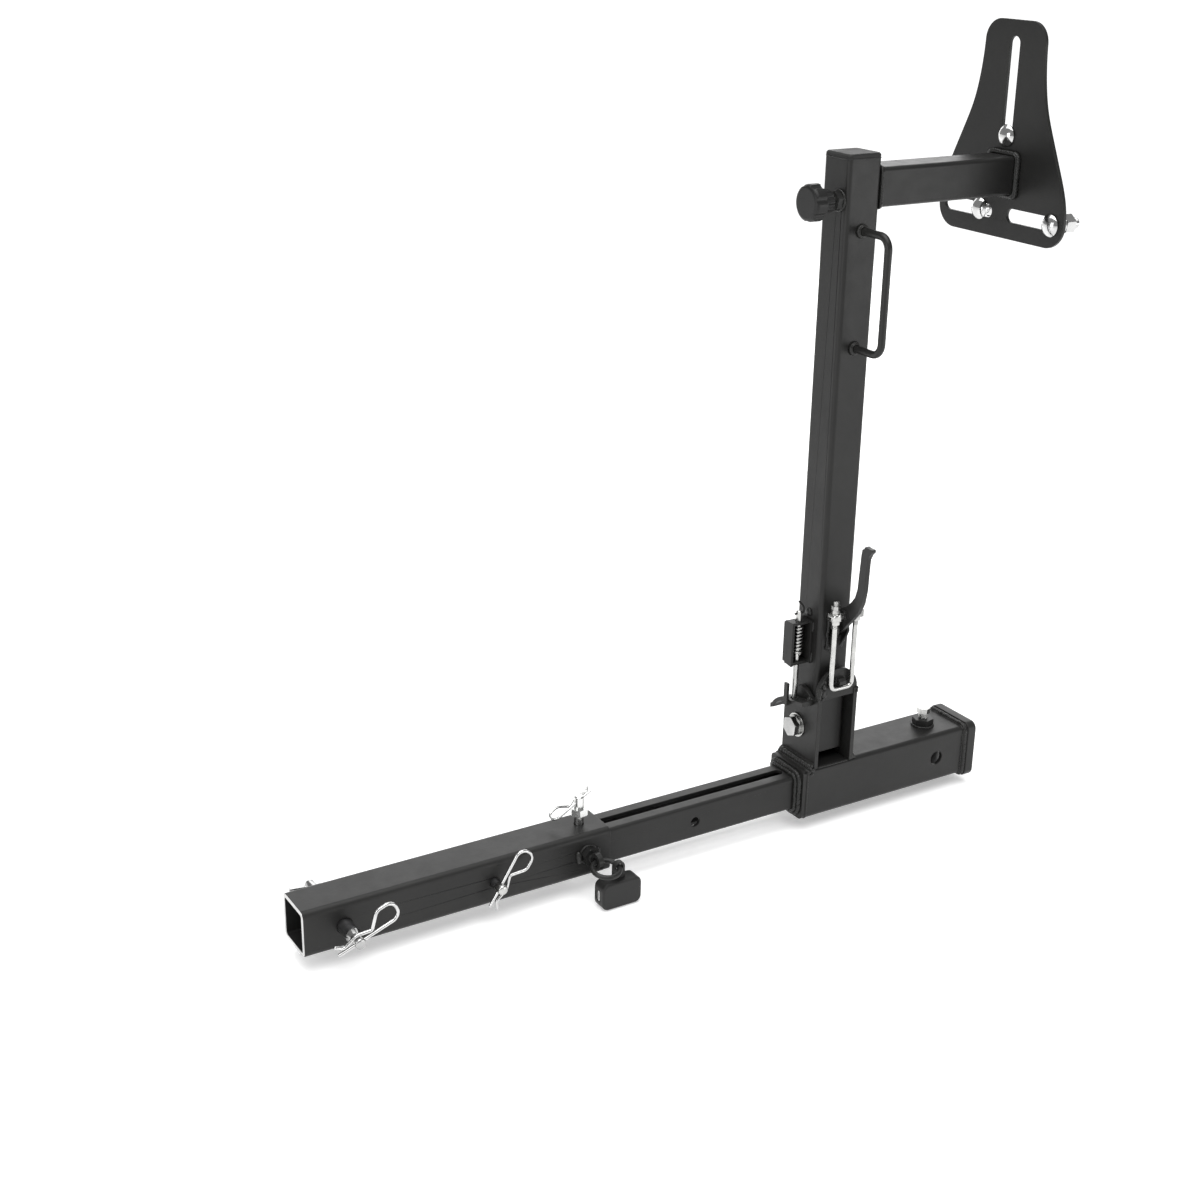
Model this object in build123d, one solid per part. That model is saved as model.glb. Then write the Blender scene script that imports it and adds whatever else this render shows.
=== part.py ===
from build123d import *
import math
import os

# Hitch spare tyre carrier. Millimetres, +X along the base from the shank's
# free end towards the open receiver, +Y to the left of that, +Z up.
# The origin is the centre of the shank's free end face.

# ---------------------------------------------------------------- dimensions
SHANK_W = 50.0          # square shank that enters a 2 in receiver
SHANK_WALL = 4.3
SHANK_L = 342.0
SHANK_R = 6.5

SLIM_W = 40.0           # telescoping inner tube
SLIM_WALL = 4.0
SLIM_R = 4.5
SLIM_X0 = 190.0

REC_W = 60.5            # receiver tube for a second accessory
REC_BORE = 51.0
REC_X0 = 594.0
REC_X1 = 836.0
REC_R = 6.0
COLLAR_W = 68.5
COLLAR_X0 = 824.5
REC_PIN_X = 781.5
REC_PIN_D = 16.4

MAST_W = 41.5
MAST_WALL = 3.0
MAST_R = 5.0
MAST_X = 628.6
MAST_Y = 3.5
MAST_Z0 = 42.0
MAST_Z1 = 690.0
PIVOT_Z = 71.5

EAR_T = 5.0
BRK_X0 = 601.25
BRK_X1 = 655.0
BRK_Y0 = -31.0
BRK_Y1 = 29.0

STRIKE_R = 34.5         # top of the strike arc about the pivot
ROD_X = 594.5           # spring latch plunger axis
ROD_R = 3.25

ARM_W = 40.0
ARM_Z = 660.0
PLATE_X = 831.5
PLATE_T = 4.0
PLATE_Y = 4.75

KNOB_Y = -4.5
KNOB_Z = 649.0

CL_Y, CL_Z = -24.0, 193.5     # clamp lever pivot
TR_Y, TR_Z = -34.0, 211.0     # clamp trunnion
BAR_Z = 125.0                 # axis of the loop's bottom bar
LOOP_R = 2.75
LOOP_DX = 14.0                # half the distance between the loop's legs

HP_X = 42.2             # hitch pin
AP_X = 205.5            # adjuster pin
SP_X = 318.0            # slot pin
LK_X = 315.0            # lock stud
LK_Z = 2.0

AR_X = 783.0            # anti-rattle bolt

os.makedirs("parts", exist_ok=True)
W = {}


def bx(x0, x1, y0, y1, z0, z1):
    return Pos((x0 + x1) / 2, (y0 + y1) / 2, (z0 + z1) / 2) * Box(x1 - x0, y1 - y0, z1 - z0)


def cx(x0, x1, y, z, r):
    return Pos((x0 + x1) / 2, y, z) * Rot(0, 90, 0) * Cylinder(r, x1 - x0)


def cy(y0, y1, x, z, r):
    return Pos(x, (y0 + y1) / 2, z) * Rot(90, 0, 0) * Cylinder(r, y1 - y0)


def cz(z0, z1, x, y, r):
    return Pos(x, y, (z0 + z1) / 2) * Cylinder(r, z1 - z0)


def cone_y(y0, y1, x, z, r0, r1):
    """Cone along Y, radius r0 at y0 and r1 at y1."""
    return Pos(x, (y0 + y1) / 2, z) * Rot(-90, 0, 0) * Cone(r0, r1, y1 - y0)


def cone_z(z0, z1, x, y, r0, r1):
    return Pos(x, y, (z0 + z1) / 2) * Cone(r0, r1, z1 - z0)


def hexa(af, h):
    return extrude(RegularPolygon(af / 2 / math.cos(math.pi / 6), 6), h)


def hex_x(x0, h, y, z, af, turn=0.0):
    """Hexagon along +X starting at x0, corners rounded off."""
    s = hexa(af, h) & (Pos(0, 0, h / 2) * Sphere(math.hypot(af * 0.555, h / 2)))
    return Pos(x0, y, z) * Rot(0, 90, 0) * Rot(0, 0, turn) * s


def hex_z(z0, h, x, y, af, turn=0.0):
    s = hexa(af, h) & (Pos(0, 0, h / 2) * Sphere(math.hypot(af * 0.555, h / 2)))
    return Pos(x, y, z0) * Rot(0, 0, turn) * s


def hex_y(y0, h, x, z, af, turn=0.0):
    s = hexa(af, h) & (Pos(0, 0, h / 2) * Sphere(math.hypot(af * 0.555, h / 2)))
    return Pos(x, y0, z) * Rot(-90, 0, 0) * Rot(0, 0, turn) * s


def sq_x(x0, x1, w, r, y=0.0, z=0.0):
    sk = Plane.YZ * RectangleRounded(w, w, r)
    return Pos(x0, y, z) * extrude(sk, x1 - x0, dir=(1, 0, 0))


def sq_z(z0, z1, w, r, x, y):
    return Pos(x, y, z0) * extrude(RectangleRounded(w, w, r), z1 - z0)


def prism_x(pts, x0, x1):
    """Closed polygon of (y, z) points, extruded along X."""
    face = make_face(Polyline(*[(x0, p[0], p[1]) for p in pts], close=True))
    return extrude(face, x1 - x0, dir=(1, 0, 0))


def slot_x(x0, x1, y0, y1, z0, z1, w):
    """Rounded slot cut, through x0..x1, between centres (y0, z0) and (y1, z1)."""
    a = math.atan2(z1 - z0, y1 - y0)
    dy, dz = -math.sin(a) * w / 2, math.cos(a) * w / 2
    s = prism_x([(y0 + dy, z0 + dz), (y1 + dy, z1 + dz), (y1 - dy, z1 - dz), (y0 - dy, z0 - dz)], x0, x1)
    return s + cx(x0, x1, y0, z0, w / 2) + cx(x0, x1, y1, z1, w / 2)


def wire(pts, radii, r):
    """Round wire along straight runs joined by arcs."""
    path = FilletPolyline(*pts, radius=radii)
    start = path @ 0
    tan = path % 0
    prof = Plane(origin=start, z_dir=tan) * Circle(r)
    return sweep(prof, path=path)


def bent(pts, radii, r):
    """Round wire with its own bend radius at each inner point."""
    ps = [Vector(*p) for p in pts]
    edges, cur = [], ps[0]
    for i, br in enumerate(radii):
        q = ps[i + 1]
        a, b = (ps[i] - q).normalized(), (ps[i + 2] - q).normalized()
        half = math.acos(a.dot(b)) / 2
        t = br / math.tan(half)
        s, e = q + a * t, q + b * t
        m = q + (a + b).normalized() * (br / math.sin(half) - br)
        edges += [Line(cur, s), ThreePointArc(s, m, e)]
        cur = e
    edges.append(Line(cur, ps[-1]))
    prof = Plane(origin=ps[0], z_dir=ps[1] - ps[0]) * Circle(r)
    return sweep(prof, path=Curve() + edges)


def save(name, shape):
    W[name] = shape
    export_step(shape, "parts/" + name + ".step")


def group(items):
    return Compound(children=list(items))


# ---------------------------------------------------------------- base tubes
H = SHANK_W / 2
shank = sq_x(0, SHANK_L, SHANK_W, SHANK_R) - sq_x(-1, SHANK_L + 1, SHANK_W - 2 * SHANK_WALL, 2.5)
shank -= cy(-40, 40, HP_X, 0, 8.2)
shank -= cy(-40, 40, AP_X, 0, 5.4)
shank -= cz(-40, 40, SP_X, 0, 5.4)
shank -= cy(-40, 0, LK_X, LK_Z, 5.6)
save("shank_tube", shank)

# welded hex nut that the lock stud runs in
save("side_nut", hex_y(-H - 9.0, 9.0, LK_X, LK_Z, 17.0, 15) - cy(-H - 10, -H + 1, LK_X, LK_Z, 5.1))

h = SLIM_W / 2
slim = sq_x(SLIM_X0, REC_X0 + 6, SLIM_W, SLIM_R) - sq_x(SLIM_X0 - 1, REC_X0 + 7, SLIM_W - 2 * SLIM_WALL, 1.5)
# long slot in the top and bottom walls, which the vertical pin runs in
slim -= bx(SP_X - 4, 575.3, -5.3, 5.3, -30, 30)
slim -= cz(-30, 30, SP_X - 4, 0, 5.3) + cz(-30, 30, 575.3, 0, 5.3)
# hidden slot in the side walls for the adjuster pin, and the second adjusting hole
slim -= bx(AP_X - 1, AP_X + 127, -30, 30, -5.4, 5.4)
slim -= cy(-30, 30, AP_X - 1, 0, 5.4) + cy(-30, 30, AP_X + 127, 0, 5.4)
slim -= cy(-30, 30, 452.0, 0, 5.6)
save("inner_tube", slim)

g = REC_W / 2
end_plate = sq_x(REC_X0 - 6, REC_X0, REC_W - 0.5, REC_R - 0.5) - sq_x(REC_X0 - 7, REC_X0 + 1, SLIM_W, SLIM_R)
save("receiver_end_plate", end_plate)
rec = sq_x(REC_X0, REC_X1, REC_W, REC_R) - sq_x(REC_X0 - 1, REC_X1 + 1, REC_BORE, 2.5)
rec -= cy(-50, 50, REC_PIN_X, 0, REC_PIN_D / 2)
rec -= cz(20, 40, AR_X, 0, 5.6)
save("receiver_tube", rec)
collar = sq_x(COLLAR_X0, REC_X1, COLLAR_W, 9.0) - sq_x(COLLAR_X0 - 1, REC_X1 + 1, REC_W, REC_R)
save("receiver_collar", collar)


def bevel_ring(x0, x1, wi, ri, w0, w1):
    """Square fillet weld around a tube: outer width w0 at x0 growing to w1 at x1."""
    a = Pos(x0, 0, 0) * (Plane.YZ * RectangleRounded(w0, w0, ri + (w0 - wi) / 2))
    b = Pos(x1, 0, 0) * (Plane.YZ * RectangleRounded(w1, w1, ri + (w1 - wi) / 2))
    return loft([a, b]) - sq_x(x0 - 1, x1 + 1, wi, ri)


welds = [
    bevel_ring(REC_X0 - 12, REC_X0 - 6, SLIM_W, SLIM_R, SLIM_W + 2, REC_W - 8),
    bevel_ring(COLLAR_X0 - 6, COLLAR_X0, REC_W, REC_R, REC_W + 1.0, COLLAR_W - 2.5),
]


def bead_y(x, z, y0, y1, sx, r):
    """Fillet weld bead along Y in the corner at (x, z); sx is the open side along X."""
    k = Pos(x, y0, z) * (Plane.XZ * make_face(Polyline((0, 0), (sx * r, 0), (sx * r * 0.62, r * 0.62), (0, r), close=True)))
    return extrude(k, y1 - y0, dir=(0, 1, 0))


welds.append(bead_y(BRK_X0, g, BRK_Y0 + 1, BRK_Y1 - 1, -1, 7.0))
welds.append(bead_y(BRK_X1, g, BRK_Y0 + 1, BRK_Y1 - 1, 1, 6.0))
save("base_welds", group(welds))

# anti-rattle nut and bolt on the receiver's top
save("anti_rattle_nut", hex_z(g, 9.0, AR_X, 0, 21.5, 12) - cz(g - 1, g + 11, AR_X, 0, 5.3))
arb = cz(25.7, 46.0, AR_X, 0, 5.2) + hex_z(46.0, 6.0, AR_X, 0, 13.5, 20)
save("anti_rattle_bolt", arb)

# ------------------------------------------------------------- hinge bracket
EAR_L = [(BRK_Y0, g), (BRK_Y1, g), (BRK_Y1, 84), (24, 96), (15, 105.5), (13.5, 112), (8, 117.5), (0, 120),
         (-8, 118.5), (-15, 113.5), (-19, 112.0), (BRK_Y0, 113)]
EAR_R = [(BRK_Y0, g), (BRK_Y1, g), (BRK_Y1, 84), (24, 96), (15, 106), (2, 113), (-12, 116), (BRK_Y0, 119)]
brk = prism_x(EAR_L, BRK_X0, BRK_X0 + EAR_T)
brk += prism_x(EAR_R, BRK_X1 - EAR_T, BRK_X1)
# low back wall: upright stop for the mast's foot and open stop for its back face
brk += bx(BRK_X0 + EAR_T - 0.5, BRK_X1 - EAR_T + 0.5, BRK_Y1 - 4.5, BRK_Y1, g, 60.0)
brk -= cx(BRK_X0 - 1, BRK_X1 + 1, MAST_Y, PIVOT_Z, 7.15)

# hook plate across the top of the window with the catch for the clamp loop
HK_Z = BAR_Z + LOOP_R + 2.0
pts = []
for i in range(0, 19):
    a = math.pi * i / 18
    pts.append(((BRK_X0 + BRK_X1) / 2 + (BRK_X1 - BRK_X0) / 2 * math.cos(a), 119.0 + 27.5 * math.sin(a)))
pts = [(BRK_X1, 112.0)] + pts + [(BRK_X0, 112.0)]
pl = Plane(origin=(0, -30.0, 0), x_dir=(1, 0, 0), z_dir=(0, -1, 0))
hook = extrude(pl * make_face(Polyline(*[(p[0], p[1]) for p in pts], close=True)), -5.0)
tongue = prism_x([(-26, HK_Z + 6.5), (-35.0, HK_Z + 6.5), (-37.5, HK_Z + 4.0), (-37.5, HK_Z), (-35.7, HK_Z),
                  (-35.1, HK_Z + 1.2), (-26, HK_Z + 1.2)], MAST_X - 4.5, MAST_X + 4.5)
hook = hook + tongue
save("hook_plate", hook)
brk -= hook
save("hinge_bracket", brk)

# strike plate: ramp, arc about the pivot and guard tab
arc_o, arc_i = [], []
for i in range(0, 16):
    a = math.radians(62.0 * i / 15)
    arc_o.append((MAST_Y + STRIKE_R * math.sin(a), PIVOT_Z + STRIKE_R * math.cos(a)))
    arc_i.append((MAST_Y + (STRIKE_R - 4.5) * math.sin(a), PIVOT_Z + (STRIKE_R - 4.5) * math.cos(a)))
poly = [(-22, 111.3), (-1.0, PIVOT_Z + STRIKE_R)] + arc_o + arc_i[::-1] + [(-2.0, PIVOT_Z + STRIKE_R - 4.5), (-23, 106.6)]
strike = prism_x(poly, 586.0, BRK_X0)
strike += prism_x([(arc_o[-1][0] - 3.0, arc_o[-1][1] + 1.2), (arc_o[-1][0] + 1.2, arc_o[-1][1] + 1.2), (arc_o[-1][0] + 1.2, arc_i[-1][1] - 2.4), (arc_o[-1][0] - 3.0, arc_i[-1][1] - 0.4)], 586.0, BRK_X0)
strike += bx(582.0, 585.0, 0.5, 6.5, 99.5, 126.0) + bx(582.0, 586.6, 0.5, 6.5, 99.5, 104.0)
strike -= cz(90, 115, ROD_X, MAST_Y, 3.85)
save("strike_plate", strike)

# pivot bolt, washers, nut
PB = MAST_Y
save("pivot_bolt", cx(BRK_X0 - 4.6, BRK_X1 + 20.0, PB, PIVOT_Z, 6.95) + hex_x(BRK_X0 - 11.4, 6.8, PB, PIVOT_Z, 20.5, 8))
wash = [
    cx(BRK_X0 - 2.0, BRK_X0, PB, PIVOT_Z, 13.8) - cx(BRK_X0 - 3, BRK_X0 + 1, PB, PIVOT_Z, 7.1),
    cx(BRK_X0 - 4.6, BRK_X0 - 2.0, PB, PIVOT_Z, 11.8) - cx(BRK_X0 - 7, BRK_X0, PB, PIVOT_Z, 7.1)
    - bx(BRK_X0 - 7, BRK_X0, PB + 5, PB + 15, PIVOT_Z - 0.7, PIVOT_Z + 0.7),
    cx(BRK_X1, BRK_X1 + 2.5, PB, PIVOT_Z, 13.8) - cx(BRK_X1 - 1, BRK_X1 + 3, PB, PIVOT_Z, 7.1),
]
save("pivot_washers", group(wash))
nut = hex_x(BRK_X1 + 2.5, 11.0, PB, PIVOT_Z, 21.5, 8) + cx(BRK_X1 + 12.5, BRK_X1 + 16.0, PB, PIVOT_Z, 9.4)
save("pivot_nut", nut - cx(BRK_X1, BRK_X1 + 20, PB, PIVOT_Z, 6.95))

# --------------------------------------------------------------------- mast
save("pivot_bush", cx(BRK_X0 + EAR_T + 0.35, BRK_X1 - EAR_T - 0.35, PB, PIVOT_Z, 10.0) - cx(580, 680, PB, PIVOT_Z, 7.05))
mast = sq_z(MAST_Z0, MAST_Z1, MAST_W, MAST_R, MAST_X, MAST_Y) - sq_z(MAST_Z0 - 1, MAST_Z1 + 1, MAST_W - 2 * MAST_WALL, 2.0, MAST_X, MAST_Y)
mast -= cx(600, 660, PB, PIVOT_Z, 10.0)
mast -= cx(600, 615, KNOB_Y, KNOB_Z, 4.4)
save("mast_tube", mast)
cap = sq_z(MAST_Z1, MAST_Z1 + 4.8, MAST_W, MAST_R, MAST_X, MAST_Y)
cap = chamfer(cap.edges().group_by(Axis.Z)[-1], 1.7)
cap += sq_z(MAST_Z1 - 12, MAST_Z1, MAST_W - 2 * MAST_WALL - 0.2, 1.9, MAST_X, MAST_Y)
save("mast_cap", cap)

MX0, MX1 = MAST_X - MAST_W / 2, MAST_X + MAST_W / 2
MYF = MAST_Y - MAST_W / 2
arm = sq_x(MX1, PLATE_X, ARM_W, 4.5, MAST_Y, ARM_Z) - sq_x(MX1 - 1, PLATE_X + 1, ARM_W - 6, 1.8, MAST_Y, ARM_Z)
save("arm_tube", arm)

# wheel plate
right = [
    ThreePointArc((22.5, 815.0), (38.2, 808.2), (44.2, 792.0)),
    Spline((44.2, 792.0), (45.3, 775.0), (47.6, 757.0), (54.6, 728.0), (66.5, 700.0), (79.0, 673.0), (90.0, 647.0), (95.0, 618.0)),
    ThreePointArc((95.0, 618.0), (87.5, 600.3), (68.0, 593.0)),
]
left = [mirror(e, Plane.YZ) for e in right]
outline = Curve() + [Line((-22.5, 815.0), (22.5, 815.0)), *right, Line((68.0, 593.0), (-68.0, 593.0)), *left]
pl = Plane(origin=(PLATE_X, PLATE_Y, 0), x_dir=(0, 1, 0), z_dir=(1, 0, 0))
wp = extrude(pl * make_face(outline), PLATE_T)
wp -= slot_x(PLATE_X - 1, PLATE_X + PLATE_T + 1, PLATE_Y, PLATE_Y, 698.0, 791.5, 14.5)
wp -= slot_x(PLATE_X - 1, PLATE_X + PLATE_T + 1, PLATE_Y - 18.5, PLATE_Y - 78.0, 618.2, 618.2, 14.5)
wp -= slot_x(PLATE_X - 1, PLATE_X + PLATE_T + 1, PLATE_Y + 18.5, PLATE_Y + 78.0, 618.2, 618.2, 14.5)
save("wheel_plate", wp)

# welds on the mast and arm
aw = [
    (sq_x(MX1, MX1 + 4.5, ARM_W + 4, 6, MAST_Y, ARM_Z) - sq_x(MX1 - 1, MX1 + 6, ARM_W, 4.5, MAST_Y, ARM_Z)),
    (sq_x(PLATE_X - 5.5, PLATE_X, ARM_W + 6, 7, MAST_Y, ARM_Z) - sq_x(PLATE_X - 7, PLATE_X + 1, ARM_W, 4.5, MAST_Y, ARM_Z)),
    cone_y(MYF - 4.0, MYF, MAST_X, 619.0, 5.2, 7.5) - cy(MYF - 6, MYF + 1, MAST_X, 619.0, 4.0),
    cone_y(MYF - 4.0, MYF, MAST_X, 499.5, 5.2, 7.5) - cy(MYF - 6, MYF + 1, MAST_X, 499.5, 4.0),
]
aw[0] = aw[0] & sq_x(MX1, MX1 + 4.5, MAST_W, 5, MAST_Y, ARM_Z)
save("mast_welds", group(aw))

# carry handle
hd = wire([(MAST_X, MYF, 619.0), (MAST_X, -60.0, 619.0), (MAST_X, -60.0, 499.5), (MAST_X, MYF, 499.5)], 13.0, 4.0)
save("carry_handle", hd)

# clamping knob at the top of the mast
save("knob_nut", hex_x(MX0 - 8.5, 8.5, KNOB_Y, KNOB_Z, 18.5, 12) - cx(MX0 - 10, MX0 + 1, KNOB_Y, KNOB_Z, 4.15))
save("knob_screw", cx(572.0, MX0 + 12.0, KNOB_Y, KNOB_Z, 4.05))
kn = cx(566.0, 580.0, KNOB_Y, KNOB_Z, 18.6)
kn = fillet(kn.edges().group_by(Axis.X)[0], 4.5)
for i in range(7):
    a = 2 * math.pi * i / 7 + 0.2
    kn -= cx(560, 590, KNOB_Y + 23.0 * math.cos(a), KNOB_Z + 23.0 * math.sin(a), 6.2)
hub = cx(579.5, 594.0, KNOB_Y, KNOB_Z, 11.5)
for i in range(12):
    a = 2 * math.pi * i / 12
    hub -= cx(579, 595, KNOB_Y + 12.5 * math.cos(a), KNOB_Z + 12.5 * math.sin(a), 2.2)
kn += hub
kn -= cx(572.0, 600, KNOB_Y, KNOB_Z, 4.05)
save("knob_head", kn)

# --------------------------------------------------------------- spring latch
HX0 = 582.5
HYB = 13.2               # back face of the housing
FB, FT = 151.0, 194.5    # inner faces of the bottom and top flanges
wall = [(-2.5, 198.0), (10.5, 198.0), (HYB, 195.0), (HYB, 152.5), (9.0, 148.5), (-2.5, 147.0)]
hs = prism_x(wall, HX0, HX0 + 3.0)                             # outer wall
hs += bx(HX0, MX0, HYB - 3.0, HYB, FB - 1.0, FT + 1.0)         # back web
hs += bx(MX0 - 3.0, MX0, -5.5, HYB, FB - 3.0, FT + 3.0)        # inner wall on the mast
hs += bx(HX0, MX0, -2.5, 9.5, FB - 3.0, FB)                    # bottom flange
hs += bx(HX0, MX0, -2.5, 10.5, FT, FT + 3.0)                   # top flange
hs = hs - cz(140, 210, ROD_X, MAST_Y, 3.7)
save("latch_housing", hs)
ROD_Z0 = PIVOT_Z + STRIKE_R + 0.35
ROD_Z1 = 209.6
PIN_Z = 159.6            # cross pin that carries the collar
rod = cz(ROD_Z0 + 1.2, ROD_Z1 - 1.2, ROD_X, MAST_Y, ROD_R)
rod += cone_z(ROD_Z0, ROD_Z0 + 1.2, ROD_X, MAST_Y, ROD_R - 0.9, ROD_R)
rod += cone_z(ROD_Z1 - 1.2, ROD_Z1, ROD_X, MAST_Y, ROD_R, ROD_R - 1.0)
rod -= cx(ROD_X - 5, ROD_X + 5, MAST_Y, 206.3, 1.35)
rod += cy(MAST_Y - 5.8, MAST_Y + 5.8, ROD_X, PIN_Z, 1.0)
save("latch_plunger", rod)
# bent pull wire through the plunger's top
save("latch_pull", bent([(ROD_X - 5.4, MAST_Y, 206.3), (ROD_X + 6.0, MAST_Y, 206.3), (ROD_X + 5.6, MAST_Y, 212.5), (ROD_X - 0.5, MAST_Y, 220.0)], [1.9, 2.4], 1.25))
save("latch_collar", cz(PIN_Z + 1.0, PIN_Z + 2.8, ROD_X, MAST_Y, 6.1) - cz(150, 165, ROD_X, MAST_Y, ROD_R))
SPR_Z0, SPR_Z1 = PIN_Z + 2.8, FT
wr = 0.85
turns = 7.6
hel = Helix(pitch=(SPR_Z1 - SPR_Z0 - 2 * wr - 0.2) / turns, height=SPR_Z1 - SPR_Z0 - 2 * wr - 0.2, radius=5.0)
prof = Plane(origin=hel @ 0, z_dir=hel % 0) * Circle(wr)
spr = Pos(ROD_X, MAST_Y, SPR_Z0 + wr + 0.1) * sweep(prof, path=hel, is_frenet=True)
save("latch_spring", spr)

# ------------------------------------------------------------- toggle clamp
cb = []
EARP = [(MYF, 165), (MYF, 205), (CL_Y + 1, 204), (CL_Y - 6.5, 198), (CL_Y - 8, 190), (CL_Y - 5, 183), (-20, 168)]
base = bx(MAST_X - 8.6, MAST_X + 8.6, MYF - 3.0, MYF, 165.0, 181.0)
base += prism_x(EARP, MAST_X - 8.6, MAST_X - 5.6) + prism_x(EARP, MAST_X + 5.6, MAST_X + 8.6)
base -= cx(600, 660, CL_Y, CL_Z, 2.95)
save("clamp_base", base)
pin = cx(MAST_X - 9.0, MAST_X + 9.0, CL_Y, CL_Z, 2.95)
save("clamp_pivot_pin", pin)
LEV_OUT = [(-18.5, 197), (-18.2, 192), (-20.5, 188.3), (-24, 187.0), (-28, 188.2), (-32, 192), (-38, 199), (-47, 209), (-56, 220), (-61.8, 233), (-64.6, 249),
           (-65.0, 267), (-65.8, 284), (-68.6, 290), (-72.6, 294.5), (-71.8, 297.2), (-66.8, 296.9), (-61.0, 297.6), (-58.6, 294.0), (-56.6, 293.6), (-55.4, 286),
           (-54.2, 266), (-53.0, 247), (-49.8, 236.5), (-44.0, 229), (-37.0, 222), (-29, 218.0), (-23, 210)]
lev = prism_x(LEV_OUT, MAST_X - 2.7, MAST_X + 2.7)
lev += cx(MAST_X - 5.2, MAST_X + 5.2, CL_Y, CL_Z, 5.4) + cx(MAST_X - 5.2, MAST_X + 5.2, TR_Y, TR_Z, 6.0)
lev -= cx(600, 660, CL_Y, CL_Z, 3.05)
lev -= cx(600, 660, TR_Y, TR_Z, 4.1)
save("clamp_lever", lev)
# trunnion bar with blocks for the loop's legs
tr = cx(MAST_X - LOOP_DX - 1.0, MAST_X + LOOP_DX + 1.0, TR_Y, TR_Z, 4.0)
for s in (-1, 1):
    x = MAST_X + s * (LOOP_DX + 1.2)
    tr += bx(x - 5.0, x + 5.0, TR_Y - 5.5, TR_Y + 5.5, TR_Z - 4.0, TR_Z + 4.0)
    tr -= cz(190, 230, MAST_X + s * LOOP_DX, TR_Y, LOOP_R + 0.05)
save("clamp_trunnion", tr)
xl, xr = MAST_X - LOOP_DX, MAST_X + LOOP_DX
ub = wire([(xl, TR_Y, 229.0), (xl, TR_Y, BAR_Z), (xr, TR_Y, BAR_Z), (xr, TR_Y, 226.0)], 6.0, LOOP_R)
save("u_bolt", ub)
nuts = []
for x in (xl, xr):
    for z, hh, t in ((TR_Z + 4.0, 4.5, 5), (TR_Z + 8.7, 4.3, 20), (TR_Z - 8.5, 4.5, 12)):
        nuts.append(hex_z(z, hh, x, TR_Y, 8.2, t) - cz(z - 1, z + hh + 1, x, TR_Y, LOOP_R + 0.02))
save("u_bolt_nuts", group(nuts))


# ---------------------------------------------------------- pins and clips
def r_clip(rw, k, origin, u, v, top=8.6):
    """Spring clip in the plane of u and v: a straight leg through the origin along u,
    a loop, and a waved leg on the v side that passes round the pin's neck."""
    raw = [(-23.0, 0), (47.0, 0), (45.4, 20.6), (27.6, 20.4), (15.8, 4.0), (0.3, top), (-15.6, 3.9), (-23.2, 10.6)]
    pts = [Vector(*origin) + Vector(*u) * (a * k) + Vector(*v) * (b * k) for a, b in raw]
    return bent([(p.X, p.Y, p.Z) for p in pts], [k * x for x in (9.2, 9.2, 8.0, 3.4, 8.0, 3.4)], rw)


# hitch pin: plain barrel through the shank, a neck and a clip at each end
NK = 5.6
hp = cy(-45.5, 45.5, HP_X, 0, 7.9)
for s in (-1, 1):
    a, b = (-50.5, -45.5) if s < 0 else (45.5, 50.5)
    hp += cone_y(a, b, HP_X, 0, NK if s < 0 else 7.9, 7.9 if s < 0 else NK)
    c0, c1 = (-63.0, -50.5) if s < 0 else (50.5, 63.0)
    hp += cy(c0, c1, HP_X, 0, NK)
    t0, t1 = (-64.2, -63.0) if s < 0 else (63.0, 64.2)
    hp += cone_y(t0, t1, HP_X, 0, NK - 1.2 if s < 0 else NK, NK if s < 0 else NK - 1.2)
ca, sa = math.cos(math.radians(20.5)), math.sin(math.radians(20.5))
cf, sf = math.cos(math.radians(6.0)), -math.sin(math.radians(6.0))
HC_Y = 59.3
for s in (-1, 1):
    d = Vector(ca, 0, sa) if s < 0 else Vector(cf, 0, sf)
    hole = Plane(origin=Vector(HP_X, s * HC_Y, 0) - d * 12, z_dir=d) * Circle(2.15)
    hp -= extrude(hole, 24)
save("hitch_pin", hp)
save("hitch_clip_near", r_clip(1.75, 1.0, (HP_X, -HC_Y, 0), (ca, 0, sa), (-sa, 0, ca)))
save("hitch_clip_far", r_clip(1.75, 1.0, (HP_X, HC_Y, 0), (cf, 0, sf), (sf, 0, -cf)))

# adjuster pin: slimmer, headed at the far side, clip at the near side
ap = cy(-43.0, 31.0, AP_X, 0, 5.2)
ap += cone_y(-44.5, -43.0, AP_X, 0, 3.8, 5.2)
ap += cy(31.0, 36.0, AP_X, 0, 9.0)
cb2, sb2 = math.cos(math.radians(58.0)), math.sin(math.radians(58.0))
AC_Y = -36.5
d = Vector(cb2, 0, sb2)
ap -= extrude(Plane(origin=Vector(AP_X, AC_Y, 0) - d * 10, z_dir=d) * Circle(1.95), 20)
save("adjuster_pin", ap)
save("adjuster_clip", r_clip(1.55, 0.95, (AP_X, AC_Y, 0), (cb2, 0, sb2), (sb2, 0, -cb2), 8.7))

# vertical pin that runs in the slot, with a nut, and a clip in its upper end
sp = cz(-27.0, 56.0, SP_X, 0, 5.1) + cz(-32.0, -27.0, SP_X, 0, 8.5) + cone_z(56.0, 57.5, SP_X, 0, 5.1, 3.9)
SC_Z = 52.0
ct, stt = math.cos(math.radians(30.0)), math.sin(math.radians(30.0))
d = Vector(-ct, 0, -stt)
sp -= extrude(Plane(origin=Vector(SP_X, 0, SC_Z) - d * 10, z_dir=d) * Circle(1.8), 20)
save("slot_pin", sp)
save("slot_pin_nut", hex_z(36.4, 7.6, SP_X, 0, 17.0, 8) - cz(36, 50, SP_X, 0, 5.1))
save("slot_clip", r_clip(1.45, 0.72, (SP_X, 0, SC_Z), (-ct, 0, -stt), (0, 1, 0), 11.9))

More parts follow.
